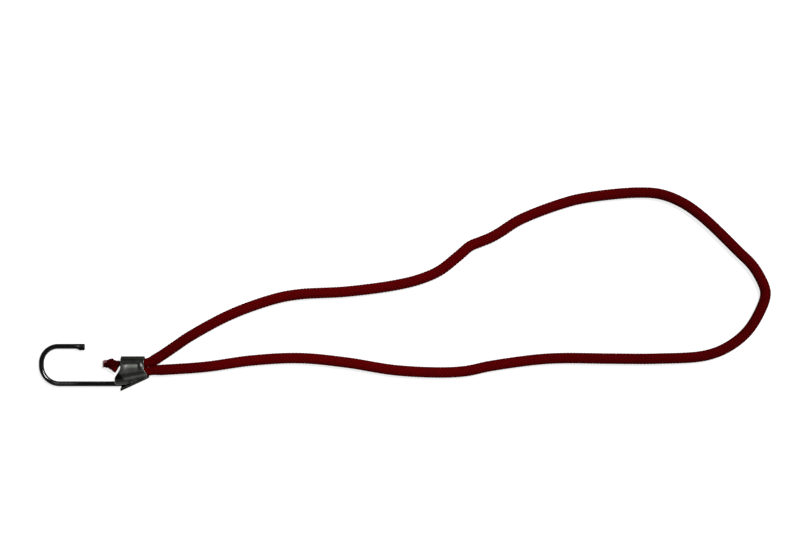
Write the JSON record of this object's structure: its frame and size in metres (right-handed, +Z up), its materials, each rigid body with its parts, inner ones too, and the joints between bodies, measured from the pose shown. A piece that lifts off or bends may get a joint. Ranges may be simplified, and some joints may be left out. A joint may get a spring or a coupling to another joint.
{
  "type": "bungee cord",
  "caption": "Elastic bungee cord folded to a loop, its ends crimped in a folded steel ferrule together with a bent wire hook.",
  "frame": {"origin": "on the flat back of the ferrule, which lies on the surface, midway along its fold and between the two cord ends", "axes": "+X from the hook towards the far end of the loop, +Y towards the side of the hook's tip, +Z up from the surface that it lies on"},
  "size_m": [0.4389, 0.1223, 0.0078],
  "materials": {
    "hook_wire": "glossy black lacquered steel wire",
    "ferrule_sheet": "dark grey plated sheet steel, satin",
    "cord_sheath": "tightly braided dark red yarn",
    "core_rubber": "matt natural rubber"
  },
  "bodies": {
    "clip": {"hook": "hook_wire", "ferrule": "ferrule_sheet", "upper_leg_sheath": "cord_sheath", "upper_leg_thread_01": "core_rubber", "upper_leg_thread_02": "core_rubber", "upper_leg_thread_03": "core_rubber", "upper_leg_thread_04": "core_rubber", "upper_leg_thread_05": "core_rubber", "upper_leg_thread_06": "core_rubber", "upper_leg_thread_07": "core_rubber", "upper_leg_thread_08": "core_rubber", "upper_leg_thread_09": "core_rubber", "upper_leg_thread_10": "core_rubber", "upper_leg_thread_11": "core_rubber", "upper_leg_thread_12": "core_rubber", "lower_leg_sheath": "cord_sheath", "lower_leg_thread_01": "core_rubber", "lower_leg_thread_02": "core_rubber", "lower_leg_thread_03": "core_rubber", "lower_leg_thread_04": "core_rubber", "lower_leg_thread_05": "core_rubber", "lower_leg_thread_06": "core_rubber", "lower_leg_thread_07": "core_rubber", "lower_leg_thread_08": "core_rubber", "lower_leg_thread_09": "core_rubber", "lower_leg_thread_10": "core_rubber", "lower_leg_thread_11": "core_rubber", "lower_leg_thread_12": "core_rubber"},
    "bight": {"bight_sheath": "cord_sheath", "bight_thread_01": "core_rubber", "bight_thread_02": "core_rubber", "bight_thread_03": "core_rubber", "bight_thread_04": "core_rubber", "bight_thread_05": "core_rubber", "bight_thread_06": "core_rubber", "bight_thread_07": "core_rubber", "bight_thread_08": "core_rubber", "bight_thread_09": "core_rubber", "bight_thread_10": "core_rubber", "bight_thread_11": "core_rubber", "bight_thread_12": "core_rubber"}
  },
  "joints": [
    {"name": "loop_stretch", "type": "slide", "parent": "clip", "child": "bight", "axis": [1, 0, 0], "range_m": [0, 0.4], "stiffness_N_per_m": 450, "deforming": ["upper_leg_sheath", "upper_leg_thread_01", "upper_leg_thread_02", "upper_leg_thread_03", "upper_leg_thread_04", "upper_leg_thread_05", "upper_leg_thread_06", "upper_leg_thread_07", "upper_leg_thread_08", "upper_leg_thread_09", "upper_leg_thread_10", "upper_leg_thread_11", "upper_leg_thread_12", "lower_leg_sheath", "lower_leg_thread_01", "lower_leg_thread_02", "lower_leg_thread_03", "lower_leg_thread_04", "lower_leg_thread_05", "lower_leg_thread_06", "lower_leg_thread_07", "lower_leg_thread_08", "lower_leg_thread_09", "lower_leg_thread_10", "lower_leg_thread_11", "lower_leg_thread_12"]}
  ]
}
